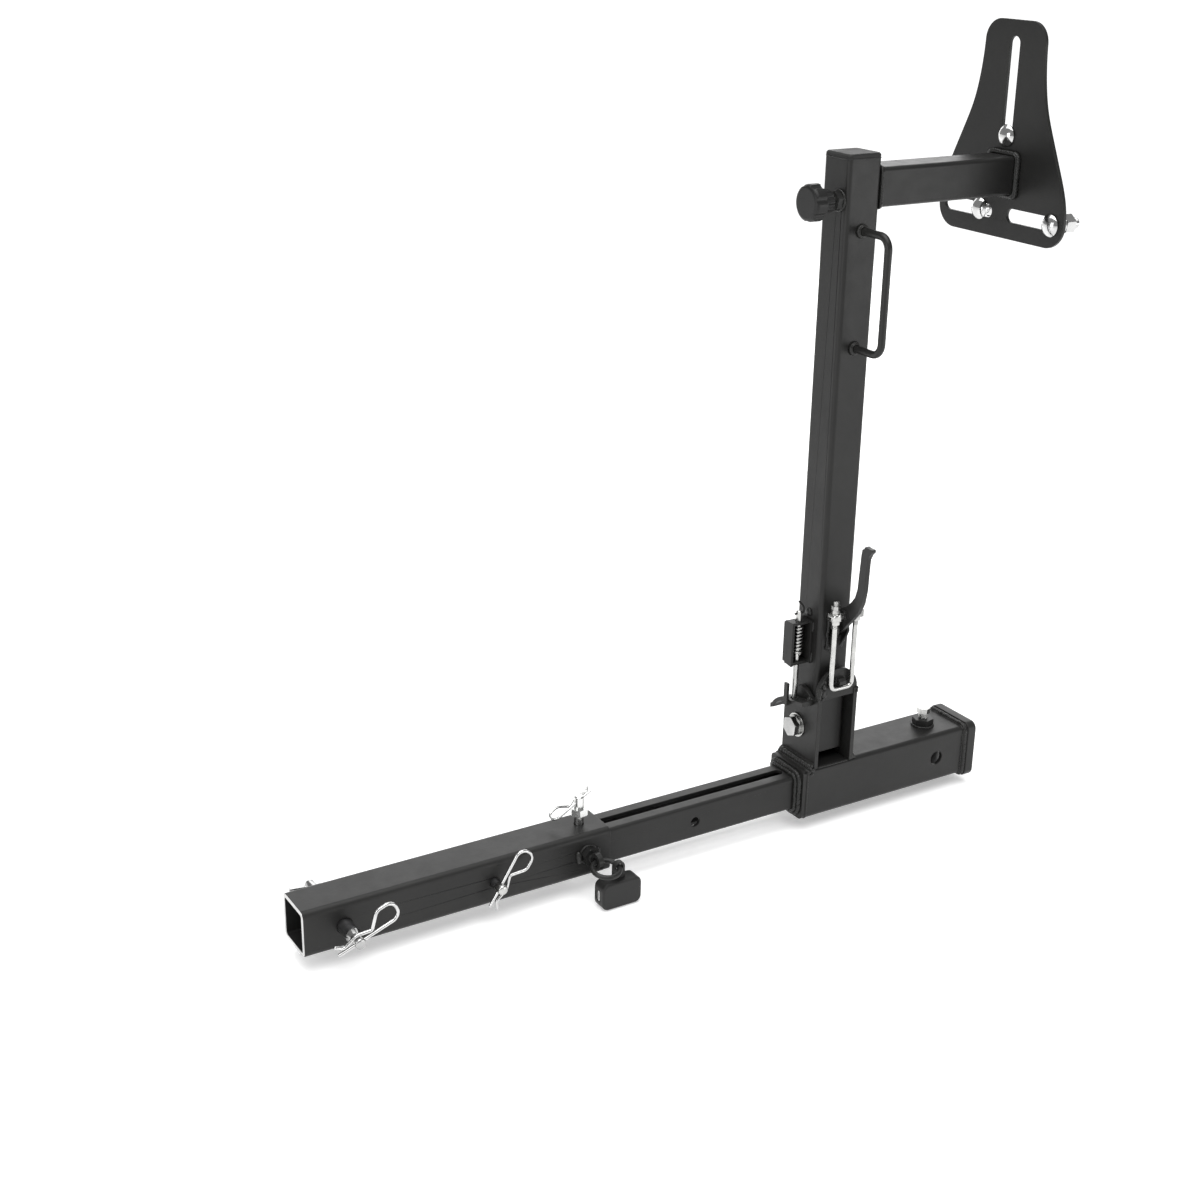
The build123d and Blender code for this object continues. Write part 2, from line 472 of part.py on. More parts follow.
# side lock: eye stud, ring and lock block
EYE_Y = -43.5
st = cy(-38.0, -20.4, LK_X, LK_Z, 5.0)
st += cx(LK_X - 2.8, LK_X + 2.8, EYE_Y, LK_Z, 9.6)
st -= cx(LK_X - 5, LK_X + 5, EYE_Y, LK_Z, 5.2)
save("lock_stud", st)
RING_R, RING_W = 14.2, 2.6
RING_TILT = 9.0
ring = Pos(LK_X + 2.0, EYE_Y, LK_Z) * Rot(RING_TILT, 0, 0) * Pos(0.0, -RING_R, 0) * Torus(RING_R, RING_W)
save("lock_ring", ring)
# lock block: hangs by a lug on the ring
LB_X, LB_Y, LB_Z1 = LK_X + 2.0 + RING_R, -58.5, -13.5
LB_W = 46.6
LB_Z = LB_Z1 - 15.0
body = Pos(LB_X, LB_Y, LB_Z) * Box(LB_W, 19.0, 30.0)
body = fillet(body.edges().filter_by(Axis.Y), 7.5)
body = fillet(body.edges().group_by(Axis.Y)[0] + body.edges().group_by(Axis.Y)[-1], 2.6)
LUG_X, LUG_Z = LB_X, -0.35
lug = bx(LUG_X - 6.4, LUG_X + 6.4, LB_Y - 2.6, LB_Y + 2.6, LB_Z1 - 3.0, LUG_Z) + cy(LB_Y - 2.6, LB_Y + 2.6, LUG_X, LUG_Z, 6.4)
lug -= cy(LB_Y - 4.0, LB_Y + 4.0, LUG_X, LUG_Z, 4.0)
body += lug
LX0 = LB_X - LB_W / 2
body -= cx(LX0 - 1.0, LX0 + 10.0, LB_Y, LB_Z, 6.7)
save("lock_body", body)
slit = Pos(LX0 - 1.0, LB_Y, LB_Z) * extrude(Plane.YZ * SlotOverall(11.6, 3.2, rotation=90), 4.2, dir=(1, 0, 0))
save("lock_core", cx(LX0 + 0.5, LX0 + 9.6, LB_Y, LB_Z, 6.6) - slit)
# shutter set in the core with the key's slot
shut = slit & bx(LX0 + 0.3, LX0 + 4.0, LB_Y - 5, LB_Y + 5, LB_Z - 10, LB_Z + 10)
save("key_shutter", shut - bx(LX0 - 1.0, LX0 + 2.4, LB_Y - 0.5, LB_Y + 0.5, LB_Z - 4.4, LB_Z + 4.4))

# ------------------------------------------------------------- wheel bolts
for nm, yy, zz in (("upper", PLATE_Y - 1.0, 699.0), ("left", PLATE_Y + 30.0, 619.3), ("right", PLATE_Y - 77.0, 617.2)):
    b = cx(PLATE_X - 1.0, PLATE_X + 35.0, yy, zz, 5.9)
    b += cx(PLATE_X + 35.0, PLATE_X + 36.0, yy, zz, 5.0)
    dome = Pos(PLATE_X + 8.2, yy, zz) * Sphere(15.2)
    dome = dome & cx(PLATE_X - 8.0, PLATE_X - 0.35, yy, zz, 11.6)
    b += dome
    save("wheel_bolt_" + nm, b)
    n = hex_x(PLATE_X + PLATE_T + 10.5, 12.0, yy, zz, 19.0, 10) + Pos(PLATE_X + PLATE_T + 7.5, yy, zz) * Rot(0, 90, 0) * Cone(6.6, 9.2, 6.0)
    n -= cx(PLATE_X, PLATE_X + 60, yy, zz, 5.9)
    save("wheel_nut_" + nm, n)

for k, s in W.items():
    b = s.bounding_box()
    print(f"{k:22s} solids {len(s.solids())} vol {s.volume:10.0f}  x {b.min.X:7.1f} {b.max.X:7.1f}  y {b.min.Y:7.1f} {b.max.Y:7.1f}  z {b.min.Z:7.1f} {b.max.Z:7.1f}")
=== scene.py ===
import math
import random

import bmesh
import bpy
from mathutils import Matrix, Vector


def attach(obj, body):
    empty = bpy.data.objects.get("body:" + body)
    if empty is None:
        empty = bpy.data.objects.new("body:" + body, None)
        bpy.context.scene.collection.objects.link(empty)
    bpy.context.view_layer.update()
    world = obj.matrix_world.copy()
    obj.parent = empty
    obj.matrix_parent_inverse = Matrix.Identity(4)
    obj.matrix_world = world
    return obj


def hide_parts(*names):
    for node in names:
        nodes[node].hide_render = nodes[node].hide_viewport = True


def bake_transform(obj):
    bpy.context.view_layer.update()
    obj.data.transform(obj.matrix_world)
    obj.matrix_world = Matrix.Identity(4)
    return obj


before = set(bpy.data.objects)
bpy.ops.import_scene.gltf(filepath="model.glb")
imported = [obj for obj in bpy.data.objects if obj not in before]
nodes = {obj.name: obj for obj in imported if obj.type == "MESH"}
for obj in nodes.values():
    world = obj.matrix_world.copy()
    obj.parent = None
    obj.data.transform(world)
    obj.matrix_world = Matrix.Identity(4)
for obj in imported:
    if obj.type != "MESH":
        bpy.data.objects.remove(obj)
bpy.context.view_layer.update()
MM = 0.001

# ------------------------------------------------------------------ materials


def new_mat(name):
    m = bpy.data.materials.new(name)
    m.use_nodes = True
    nt = m.node_tree
    b = nt.nodes["Principled BSDF"]
    tc = nt.nodes.new("ShaderNodeTexCoord")
    return m, nt, b, tc


def noise(nt, tc, scale, detail=4.0, rough=0.55, dist=0.0):
    n = nt.nodes.new("ShaderNodeTexNoise")
    n.inputs["Scale"].default_value = scale
    n.inputs["Detail"].default_value = detail
    n.inputs["Roughness"].default_value = rough
    n.inputs["Distortion"].default_value = dist
    nt.links.new(tc.outputs["Object"], n.inputs["Vector"])
    return n


def ramp(nt, src, stops):
    r = nt.nodes.new("ShaderNodeValToRGB")
    els = r.color_ramp.elements
    while len(els) > 1:
        els.remove(els[-1])
    for i, (p, c) in enumerate(stops):
        e = els[0] if i == 0 else els.new(p)
        e.position = p
        e.color = (c[0], c[1], c[2], 1.0) if not isinstance(c, float) else (c, c, c, 1.0)
    nt.links.new(src, r.inputs["Fac"])
    return r


def bump(nt, b, srcs):
    """srcs: list of (height socket, strength, distance in metres)."""
    last = None
    for h, s, d in srcs:
        n = nt.nodes.new("ShaderNodeBump")
        n.inputs["Strength"].default_value = s
        n.inputs["Distance"].default_value = d
        nt.links.new(h, n.inputs["Height"])
        if last is not None:
            nt.links.new(last.outputs["Normal"], n.inputs["Normal"])
        last = n
    nt.links.new(last.outputs["Normal"], b.inputs["Normal"])


def powder(name, lo, hi, r0, r1, coarse=420.0, bs=0.16, weldy=False):
    """Black powder coat: fine orange peel, faint dust and shade variation."""
    m, nt, b, tc = new_mat(name)
    big = noise(nt, tc, 14.0, 5.0, 0.6)
    c = ramp(nt, big.outputs["Fac"], [(0.25, lo), (0.75, hi)])
    nt.links.new(c.outputs["Color"], b.inputs["Base Color"])
    mid = noise(nt, tc, 60.0, 6.0, 0.65)
    r = ramp(nt, mid.outputs["Fac"], [(0.3, r0), (0.7, r1)])
    nt.links.new(r.outputs["Color"], b.inputs["Roughness"])
    fine = noise(nt, tc, coarse, 3.0, 0.5)
    srcs = [(fine.outputs["Fac"], bs, 0.00025)]
    if weldy:
        lump = noise(nt, tc, 160.0, 3.0, 0.6, 0.4)
        srcs.append((lump.outputs["Fac"], 0.45, 0.0008))
    bump(nt, b, srcs)
    b.inputs["Specular IOR Level"].default_value = 0.28
    return m


def metal(name, lo, hi, r0, r1, streak=None, aniso=0.0, bs=0.05):
    m, nt, b, tc = new_mat(name)
    b.inputs["Metallic"].default_value = 1.0
    big = noise(nt, tc, 45.0, 6.0, 0.62)
    c = ramp(nt, big.outputs["Fac"], [(0.3, lo), (0.7, hi)])
    nt.links.new(c.outputs["Color"], b.inputs["Base Color"])
    mid = noise(nt, tc, 170.0, 5.0, 0.6)
    r = ramp(nt, mid.outputs["Fac"], [(0.3, r0), (0.7, r1)])
    nt.links.new(r.outputs["Color"], b.inputs["Roughness"])
    fine = noise(nt, tc, 900.0, 3.0, 0.5)
    bump(nt, b, [(fine.outputs["Fac"], bs, 0.0002)])
    return m


M = {
    "frame": powder("mat_frame_coat", (0.0095, 0.0095, 0.0092), (0.0150, 0.0149, 0.0143), 0.38, 0.48),
    "coat_smooth": powder("mat_frame_coat_smooth", (0.010, 0.010, 0.0098), (0.016, 0.016, 0.0155), 0.32, 0.42, bs=0.10),
    "weld": powder("mat_weld_coat", (0.010, 0.010, 0.010), (0.020, 0.020, 0.019), 0.24, 0.36, bs=0.2, weldy=True),
    "zinc": metal("mat_zinc", (0.36, 0.36, 0.355), (0.58, 0.58, 0.565), 0.18, 0.32),
    "chrome": metal("mat_bright_steel", (0.48, 0.48, 0.48), (0.66, 0.66, 0.655), 0.10, 0.20, bs=0.03),
    "cap": powder("mat_cap_coat", (0.0095, 0.0095, 0.0092), (0.0150, 0.0149, 0.0143), 0.52, 0.62),
    "zinc_light": metal("mat_zinc_light", (0.55, 0.555, 0.55), (0.76, 0.765, 0.755), 0.16, 0.28),
    "steel_dim": metal("mat_head_steel", (0.30, 0.30, 0.30), (0.46, 0.46, 0.455), 0.14, 0.24, bs=0.03),
    "dark": metal("mat_dark_steel", (0.105, 0.105, 0.108), (0.165, 0.165, 0.168), 0.36, 0.48),
    # bare steel for the shank's cut edge; also used for the painted highlight blob under the strike plate
    "cut": metal("mat_cut_steel_and_painted_glint", (0.42, 0.42, 0.42), (0.62, 0.62, 0.61), 0.30, 0.45, bs=0.12),
    "plastic": powder("mat_black_plastic", (0.0085, 0.0085, 0.0085), (0.0125, 0.0125, 0.0125), 0.36, 0.48, coarse=700.0, bs=0.10),
    "casing": powder("mat_lock_casing", (0.012, 0.012, 0.012), (0.018, 0.018, 0.0175), 0.42, 0.52, coarse=650.0, bs=0.14),
}

CAD_LOOK = {}
for n in ("shank_tube", "inner_tube", "receiver_end_plate", "receiver_tube", "receiver_collar", "hinge_bracket", "hook_plate", "strike_plate",
          "mast_tube", "mast_cap", "arm_tube", "wheel_plate", "latch_housing", "clamp_base"):
    CAD_LOOK[n] = "frame"
for n in ("carry_handle", "knob_nut", "anti_rattle_nut", "side_nut", "clamp_lever", "lock_stud", "lock_ring", "pivot_bush", "latch_pull"):
    CAD_LOOK[n] = "coat_smooth"
for n in ("base_welds", "mast_welds"):
    CAD_LOOK[n] = "weld"
for n in ("anti_rattle_bolt", "pivot_washers", "pivot_nut", "slot_pin_nut", "slot_pin", "slot_clip", "latch_plunger", "latch_collar", "latch_spring",
          "u_bolt", "u_bolt_nuts", "clamp_trunnion", "clamp_pivot_pin", "knob_screw"):
    CAD_LOOK[n] = "zinc"
for n in ("hitch_clip_near", "hitch_clip_far", "adjuster_clip", "pivot_bolt", "wheel_bolt_upper", "wheel_bolt_left", "wheel_bolt_right",
          "wheel_nut_upper", "wheel_nut_left", "wheel_nut_right", "key_shutter"):
    CAD_LOOK[n] = "chrome"
for n in ("slot_pin", "slot_pin_nut", "slot_clip"):
    CAD_LOOK[n] = "zinc_light"
CAD_LOOK["pivot_bolt"] = "steel_dim"
CAD_LOOK["mast_cap"] = "cap"
CAD_LOOK["hitch_pin"] = "dark"
CAD_LOOK["adjuster_pin"] = "dark"
CAD_LOOK["knob_head"] = "plastic"
CAD_LOOK["lock_body"] = "casing"
CAD_LOOK["lock_core"] = "casing"

BEVEL = {"shank_tube": 0.5, "inner_tube": 0.5, "receiver_tube": 0.6, "mast_tube": 0.5, "arm_tube": 0.5, "wheel_plate": 0.7, "hinge_bracket": 0.7,
         "receiver_collar": 1.0, "receiver_end_plate": 0.9, "hook_plate": 0.9, "strike_plate": 0.7, "latch_housing": 0.6, "clamp_lever": 1.0,
         "clamp_base": 0.5, "knob_head": 0.7, "lock_body": 0.4}
NO_BEVEL = {"latch_spring", "hitch_clip_near", "hitch_clip_far", "adjuster_clip", "slot_clip", "u_bolt", "carry_handle", "lock_ring", "mast_welds", "latch_pull", "latch_collar", "clamp_trunnion"}

for n, o in nodes.items():
    o.data.materials.clear()
    o.data.materials.append(M[CAD_LOOK[n]])
    o.data.polygons.foreach_set("use_smooth", [True] * len(o.data.polygons))
    w = o.modifiers.new("weld", "WELD")
    w.merge_threshold = 2e-6
    if n not in NO_BEVEL:
        bv = o.modifiers.new("edge", "BEVEL")
        bv.width = BEVEL.get(n, 0.35) * MM
        bv.segments = 2
        bv.limit_method = "ANGLE"
        bv.angle_limit = math.radians(32)
        bv.harden_normals = True
        bv.use_clamp_overlap = True
    wn = o.modifiers.new("normals", "WEIGHTED_NORMAL")
    wn.keep_sharp = True

# the spring sits between the housing's top flange and the collar; a static baked copy of its mesh replaces the spring
# part, which is hidden
bpy.context.view_layer.update()
coil = bpy.data.objects.new("latch_spring_coil", nodes["latch_spring"].data.copy())
bpy.context.scene.collection.objects.link(coil)
coil.matrix_world = nodes["latch_spring"].matrix_world.copy()
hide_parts("latch_spring")
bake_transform(coil)

# ------------------------------------------------------------- mesh helpers


def mesh_obj(name, verts, faces, look, body, smooth=True):
    """verts in millimetres, row frame."""
    me = bpy.data.meshes.new(name)
    me.from_pydata([tuple(c * MM for c in v) for v in verts], [], faces)
    me.validate()
    bm = bmesh.new()
    bm.from_mesh(me)
    bmesh.ops.recalc_face_normals(bm, faces=bm.faces)
    bm.to_mesh(me)
    bm.free()
    if smooth:
        me.polygons.foreach_set("use_smooth", [True] * len(me.polygons))
    o = bpy.data.objects.new(name, me)
    bpy.context.scene.collection.objects.link(o)
    me.materials.append(M[look])
    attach(o, body)
    return o


def resample(pts, step, closed):
    pts = [Vector(p) for p in pts]
    if closed:
        pts = pts + [pts[0]]
    out = [pts[0]]
    left = step
    for a, b in zip(pts[:-1], pts[1:]):
        d = (b - a).length
        if d < 1e-9:
            continue
        t = left
        while t < d:
            out.append(a + (b - a) * (t / d))
            t += step
        left = t - d
    if not closed:
        out.append(pts[-1])
    elif (out[-1] - out[0]).length < step * 0.5:
        out.pop()
    return out


def tube_mesh(path, radius_of, closed, seg=10):
    """Tube along path; radius_of(i, k) gives the radius at step i, side k."""
    n = len(path)
    verts, faces = [], []
    up = None
    for i, p in enumerate(path):
        a = path[(i - 1) % n] if (closed or i > 0) else path[0]
        b = path[(i + 1) % n] if (closed or i < n - 1) else path[-1]
        t = (b - a).normalized()
        if up is None:
            up = Vector((0, 0, 1)) if abs(t.z) < 0.8 else Vector((0, 1, 0))
            up = (up - t * up.dot(t)).normalized()
        else:
            up = (up - t * up.dot(t)).normalized()
        side = t.cross(up)
        for k in range(seg):
            an = 2 * math.pi * k / seg
            r = radius_of(i, k)
            verts.append(p + up * (math.cos(an) * r) + side * (math.sin(an) * r))
    rings = n if closed else n - 1
    for i in range(rings):
        j = (i + 1) % n
        for k in range(seg):
            l = (k + 1) % seg
            faces.append((i * seg + k, i * seg + l, j * seg + l, j * seg + k))
    if not closed:
        faces.append(tuple(reversed(range(seg))))
        faces.append(tuple((n - 1) * seg + k for k in range(seg)))
    return verts, faces


def bead(name, pts, r, body, closed=False, pitch=2.3, seed=1, rough=0.10, look="weld"):
    """Rippled weld bead: overlapping scallops along the joint."""
    rnd = random.Random(seed)
    step = 0.55
    path = resample(pts, step, closed)
    n = len(path)
    if closed:
        count = max(3, round(n * step / pitch))
        pitch = n * step / count
    phase = rnd.random()
    jig = [Vector((rnd.uniform(-1, 1), rnd.uniform(-1, 1), rnd.uniform(-1, 1))) * r * rough for _ in range(int(n * step / pitch) + 3)]
    size = [1.0 + rnd.uniform(-rough, rough) for _ in jig]
    radii, moved = [], []
    for i, p in enumerate(path):
        s = i * step / pitch + phase
        f = s - math.floor(s)
        q = int(s) % (len(jig) - 2)
        scal = 0.80 + 0.24 * math.sqrt(max(0.0, 1 - (f - 0.25) ** 2 / 0.5625)) if f > 0.25 else 0.80 + 0.24 * math.sqrt(max(0.0, 1 - (0.25 - f) ** 2 / 0.0625))
        e = 1.0
        if not closed:
            d = min(i, n - 1 - i) * step
            e = min(1.0, 0.25 + math.sqrt(min(1.0, d / (r * 1.1))) * 0.75)
        w = min(1.0, f * 2)
        radii.append(r * scal * e * (size[q] * (1 - w) + size[q + 1] * w))
        moved.append(p + jig[q] * (1 - w) + jig[q + 1] * w)
    v, f = tube_mesh(moved, lambda i, k: radii[i], closed, 12)
    return mesh_obj(name, v, f, look, body)


def sq_path(x, half, rad, y=0.0, z=0.0, axis="x"):
    """Rounded square in the plane across the axis."""
    pts = []
    for cxs, cys, a0 in ((1, 1, 0), (-1, 1, 90), (-1, -1, 180), (1, -1, 270)):
        for k in range(7):
            a = math.radians(a0 + 15 * k)
            u = cxs * (half - rad) + rad * math.cos(a)
            v = cys * (half - rad) + rad * math.sin(a)
            pts.append((x, y + u, z + v) if axis == "x" else (x + u, y + v, z))
    return pts


def ring_path(c, n, r, count=40):
    n = Vector(n).normalized()
    u = Vector((0, 0, 1)) if abs(n.z) < 0.8 else Vector((1, 0, 0))
    u = (u - n * u.dot(n)).normalized()
    v = n.cross(u)
    return [Vector(c) + u * (r * math.cos(2 * math.pi * i / count)) + v * (r * math.sin(2 * math.pi * i / count)) for i in range(count)]


def thread(name, start, axis, length, r0, r1, pitch, body, look="zinc", seg=28):
    """Screw thread: a closed helical ridge on a shaft."""
    ax = Vector(axis).normalized()
    u = Vector((0, 0, 1)) if abs(ax.z) < 0.8 else Vector((1, 0, 0))
    u = (u - ax * u.dot(ax)).normalized()
    w = ax.cross(u)
    per = 6
    n = max(4, int(length / pitch * per))
    verts, faces = [], []
    for i in range(n + 1):
        s = length * i / n
        fade = min(1.0, min(s, length - s) / (pitch * 0.6))
        for k in range(seg):
            a = 2 * math.pi * k / seg
            f = (s / pitch - k / seg) % 1.0
            h = 1 - abs(2 * f - 1)
            h = min(1.0, max(0.0, h * 1.5 - 0.2))
            r = r0 + (r1 - r0) * h * fade
            verts.append(Vector(start) + ax * s + u * (r * math.cos(a)) + w * (r * math.sin(a)))
    for i in range(n):
        for k in range(seg):
            l = (k + 1) % seg
            faces.append((i * seg + k, i * seg + l, (i + 1) * seg + l, (i + 1) * seg + k))
    faces.append(tuple(reversed(range(seg))))
    faces.append(tuple(n * seg + k for k in range(seg)))
    return mesh_obj(name, verts, faces, look, body)


def blob(name, c, r, body, seed=1, squash=(1, 1, 1), look="weld", lump=0.12):
    """Small lumpy weld deposit."""
    rnd = random.Random(seed)
    bm = bmesh.new()
    bmesh.ops.create_icosphere(bm, subdivisions=3, radius=1.0)
    dirs = [(Vector((rnd.uniform(-1, 1), rnd.uniform(-1, 1), rnd.uniform(-1, 1))).normalized(), rnd.uniform(0.3, 1.0)) for _ in range(7)]
    vs = []
    for v in bm.verts:
        d = v.co.normalized()
        k = 1.0 + sum(lump * a * max(0.0, d.dot(q)) ** 4 for q, a in dirs)
        vs.append((c[0] + d.x * r * k * squash[0], c[1] + d.y * r * k * squash[1], c[2] + d.z * r * k * squash[2]))
    fs = [tuple(v.index for v in f.verts) for f in bm.faces]
    bm.free()
    return mesh_obj(name, vs, fs, look, body)


# ---------------------------------------------------------- sizes used below
G = 30.25
MAST_X, MAST_Y = 628.6, 3.5
MX0, MX1 = MAST_X - 20.75, MAST_X + 20.75
MYF = MAST_Y - 20.75
PX = 831.5
BX0, BX1 = 601.25, 655.0

# weld beads on the base
bead("weld_inner_a", sq_path(583.6, 21.9, 6.5), 2.4, "carriage", True, 3.4, 3)
bead("weld_inner_b", sq_path(586.4, 25.2, 9.0), 2.7, "carriage", True, 3.6, 4)
bead("weld_collar", sq_path(821.9, 31.2, 7.0), 2.4, "carriage", True, 3.0, 5)
bead("weld_plate_edge", sq_path(594.0, 30.0, 6.0), 1.1, "carriage", True, 2.6, 6)
bead("weld_ear_left", [(BX0 - 3.0, -29.5, G + 2.9), (BX0 - 3.0, 27.5, G + 2.9)], 3.5, "carriage", False, 4.2, 7, 0.05)
bead("weld_ear_right", [(BX1 + 2.6, -29.5, G + 2.6), (BX1 + 2.6, 27.5, G + 2.6)], 3.1, "carriage", False, 3.8, 8, 0.05)
bead("weld_ear_corner", [(BX0 + 1.5, -31.2, G + 0.4), (BX0 - 2.0, -31.2, G - 0.6), (BX0 - 5.5, -30.8, G - 0.5)], 1.7, "carriage", False, 2.6, 9, 0.18)
bead("weld_window_foot", [(BX0 + 6, -30.0, G + 0.1), (BX1 - 6, -30.0, G + 0.1)], 0.9, "carriage", False, 3.0, 10, 0.1)
for i, (y, z, r) in enumerate(((-31.0, G - 1.5, 2.4), (-30.5, G + 2.5, 2.0), (-31.3, G - 5.0, 1.7))):
    blob(f"weld_corner_{i}", (BX0 - 7.0 + i * 2.0, y, z), r, "carriage", 20 + i)
# hook plate: heavy irregular welds to the ears
bead("weld_hook_left", [(BX0 + 1.0, -30.8, 112.5), (BX0 + 0.6, -30.9, 119), (BX0 + 2.5, -30.8, 128)], 2.3, "carriage", False, 3.0, 11, 0.2)
bead("weld_hook_right", [(BX1 - 1.0, -30.8, 112.5), (BX1 - 0.8, -30.8, 120.5)], 1.8, "carriage", False, 3.0, 12, 0.2)
for i, (dx, z, r) in enumerate(((7.0, 121.0, 3.0), (8.6, 128.5, 2.6), (9.2, 117.5, 2.2), (7.0, 114.0, 2.0), (9.4, 133.0, 1.7))):
    blob(f"weld_hook_blob_{i}", (BX0 + dx, -29.8, z), r, "carriage", 30 + i, (1, 0.75, 1.1), lump=0.3)
bead("weld_tongue_l", [(MAST_X - 5.0, -31.0, 130.5), (MAST_X - 5.0, -31.0, 136.5)], 1.2, "carriage", False, 2.0, 13)
bead("weld_tongue_r", [(MAST_X + 5.0, -31.0, 130.5), (MAST_X + 5.0, -31.0, 136.5)], 1.2, "carriage", False, 2.0, 14)
# strike plate welds
bead("weld_strike_top", [(BX0 - 0.4, -21.0, 110.6), (BX0 - 0.4, -14.0, 109.2)], 1.9, "carriage", False, 2.8, 15, 0.2)
bead("weld_strike_under", [(BX0 - 0.4, -20.0, 105.2), (BX0 - 0.4, 2.0, 100.8)], 1.8, "carriage", False, 2.8, 16, 0.12)
# bright bare-steel blob under the strike plate: a painted highlight that gives a glint below the plate
blob("weld_strike_painted_glint", (593.0, -6.0, 101.7), 2.1, "carriage", 41, (1.2, 1.5, 0.55), "cut", 0.2)
for i, (y, z, r) in enumerate(((-17.5, 110.5, 2.6), (-20.5, 107.0, 2.1))):
    blob(f"weld_strike_blob_{i}", (BX0 - 1.5, y, z), r, "carriage", 43 + i, lump=0.3)

# welds on the mast
bead("weld_arm_mast", sq_path(MX1 + 1.4, 20.6, 5.0, MAST_Y, 660.0), 1.7, "mast", True, 2.8, 17)
bead("weld_arm_plate", sq_path(PX - 2.4, 22.2, 6.0, MAST_Y, 660.0), 2.7, "mast", True, 3.2, 18)
bead("weld_cap", sq_path(MAST_X, 20.7, 5.0, MAST_Y, 690.0, "z"), 0.6, "mast", True, 2.4, 19)
bead("weld_handle_top", ring_path((MAST_X, MYF - 1.6, 619.0), (0, 1, 0), 5.4), 1.7, "mast", True, 2.6, 20)
bead("weld_handle_low", ring_path((MAST_X, MYF - 1.6, 499.5), (0, 1, 0), 5.4), 1.7, "mast", True, 2.6, 21)
bead("weld_knob_nut", ring_path((MX0 - 1.0, -4.5, 649.0), (1, 0, 0), 9.9), 1.5, "mast", True, 2.8, 22)
bead("weld_clamp_l", [(MAST_X - 9.4, MYF - 0.8, 166), (MAST_X - 9.8, MYF - 0.8, 185), (MAST_X - 9.4, MYF - 0.8, 205)], 1.9, "mast", False, 3.0, 23, 0.2)
bead("weld_clamp_r", [(MAST_X + 9.4, MYF - 0.8, 166), (MAST_X + 9.8, MYF - 0.8, 185), (MAST_X + 9.4, MYF - 0.8, 205)], 1.9, "mast", False, 3.0, 24, 0.2)
for i, (x, z, r) in enumerate(((-10.0, 203.5, 2.6), (-10.6, 184.0, 2.2), (-10.0, 169.0, 2.5), (10.3, 199.0, 2.4), (10.0, 174.0, 2.6))):
    blob(f"weld_clamp_blob_{i}", (MAST_X + x, MYF - 1.2, z), r, "mast", 50 + i, (1, 0.8, 1.2), lump=0.3)
bead("weld_latch_back", [(MX0 - 0.4, 13.8, 149), (MX0 - 0.4, 13.8, 196)], 1.5, "mast", False, 2.8, 25, 0.15)
bead("weld_latch_front", [(MX0 - 0.4, -6.0, 149), (MX0 - 0.4, -6.0, 160)], 1.5, "mast", False, 2.8, 26, 0.2)
bead("weld_latch_front_b", [(MX0 - 0.4, -6.0, 185), (MX0 - 0.4, -6.0, 196)], 1.5, "mast", False, 2.8, 27, 0.2)
blob("weld_plug", (MX0 - 0.6, 3.0, 205.5), 4.6, "mast", 61, (0.5, 1, 1), "weld", 0.08)

# welds of the nuts
bead("weld_rattle_nut", ring_path((783.0, 0, G + 0.6), (0, 0, 1), 12.0), 1.5, "carriage", True, 2.8, 28)
bead("weld_side_nut", ring_path((315.0, -25.4, 2.0), (0, 1, 0), 9.7), 1.4, "shank", True, 2.8, 29)
blob("weld_side_blob", (303.2, -26.8, 0.5), 4.0, "shank", 63, (0.8, 0.9, 1.5), lump=0.25)
blob("weld_side_blob_b", (326.6, -26.0, 3.0), 2.6, "shank", 64, (0.8, 0.7, 1.5), lump=0.25)

# threads
thread("thread_loop_l", (MAST_X - 14.0, -34.0, 197.0), (0, 0, 1), 31.5, 2.70, 2.98, 1.0, "loop")
thread("thread_loop_r", (MAST_X + 14.0, -34.0, 197.0), (0, 0, 1), 28.5, 2.70, 2.98, 1.0, "loop")
for nm, y, z in (("upper", 3.75, 699.0), ("left", 34.75, 619.3), ("right", -72.25, 617.2)):
    thread("thread_wheel_" + nm, (PX + 5.0, y, z), (1, 0, 0), 30.0, 5.85, 6.22, 1.75, nm + "_bolt", "chrome")
thread("thread_pivot", (671.2, 3.5, 71.5), (1, 0, 0), 3.5, 6.9, 7.25, 1.9, "carriage", "chrome")
thread("thread_rattle", (783.0, 0, 39.4), (0, 0, 1), 6.5, 5.15, 5.5, 1.5, "anti_rattle_screw")
thread("thread_knob", (594.2, -4.5, 649.0), (1, 0, 0), 5.0, 4.0, 4.28, 1.2, "knob")
thread("thread_stud", (315.0, -37.5, 2.0), (0, 1, 0), 4.0, 4.95, 5.25, 1.5, "eye_stud", "coat_smooth")

# bare cut edge at the shank's open end


def sq_ring_plate(name, x0, x1, half_o, rad_o, half_i, rad_i, look, body):
    o0, i0 = sq_path(x0, half_o, rad_o), sq_path(x0, half_i, rad_i)
    o1, i1 = sq_path(x1, half_o, rad_o), sq_path(x1, half_i, rad_i)
    n = len(o0)
    v = o0 + i0 + o1 + i1
    f = []
    for k in range(n):
        l = (k + 1) % n
        f += [(k, l, n + l, n + k), (2 * n + k, 3 * n + k, 3 * n + l, 2 * n + l), (k, 2 * n + k, 2 * n + l, l), (n + k, n + l, 3 * n + l, 3 * n + k)]
    return mesh_obj(name, v, f, look, body, smooth=False)


sq_ring_plate("cut_edge_shank", -0.25, 0.4, 24.75, 6.3, 20.75, 2.8, "cut", "shank")

# bright cone, neck and tip of the hitch pin, and the adjuster pin's tip


